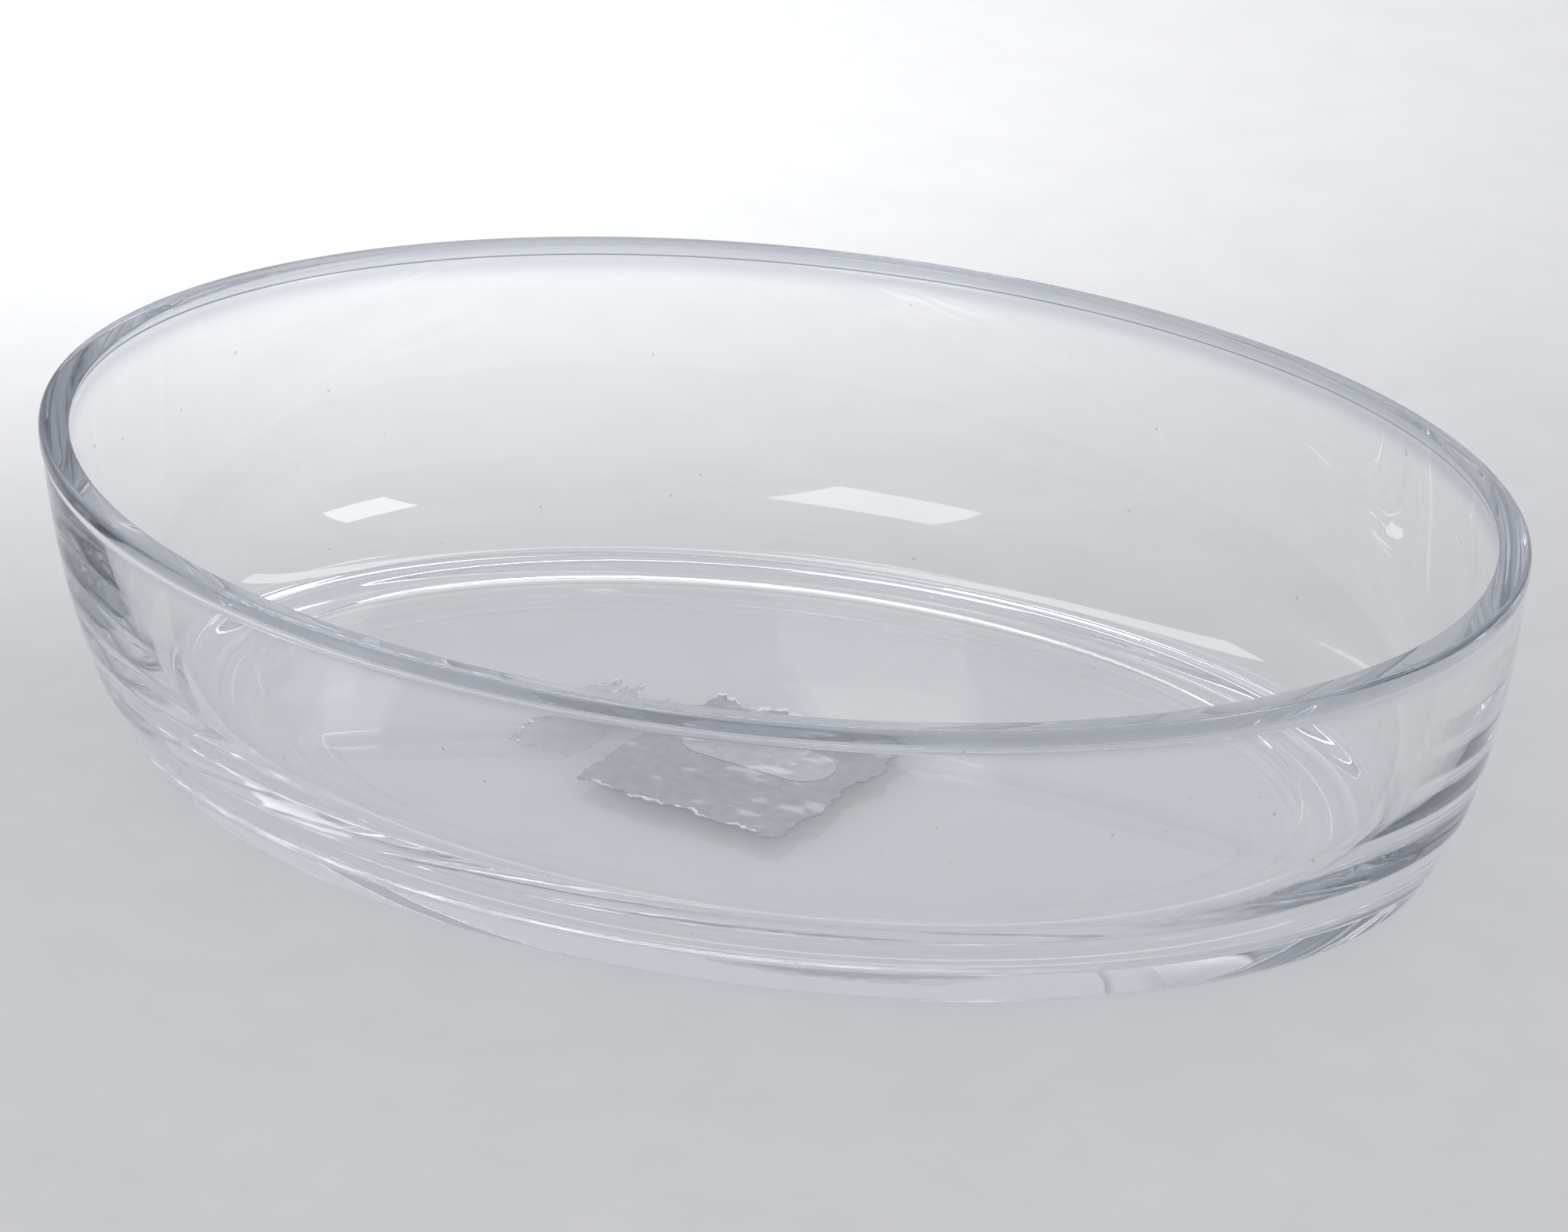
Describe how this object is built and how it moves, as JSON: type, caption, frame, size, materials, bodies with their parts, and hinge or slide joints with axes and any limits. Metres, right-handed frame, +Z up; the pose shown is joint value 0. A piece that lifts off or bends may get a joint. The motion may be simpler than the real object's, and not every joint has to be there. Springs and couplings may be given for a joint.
{
  "type": "oval glass baking dish",
  "caption": "Oval dish of clear pressed glass with a curved wall, a flat floor and a flat banded rim, for baking and serving.",
  "frame": {"origin": "middle of the dish's footprint, on the plane it rests on", "axes": "+X along the long axis of the oval, +Y along the short axis, +Z up through the open top"},
  "size_m": [0.3, 0.21, 0.066],
  "materials": {
    "clear_glass": "clear pressed glass, slightly grey-blue, smooth",
    "label_film": "worn see-through film with torn white edges",
    "badge_film": "paler blank printed field",
    "sticker_paper": "worn sticker remnant with torn paper edges"
  },
  "bodies": {
    "root": {"glass_dish": "clear_glass", "maker_label": "label_film", "label_badge": "badge_film", "price_sticker": "sticker_paper"}
  },
  "joints": []
}
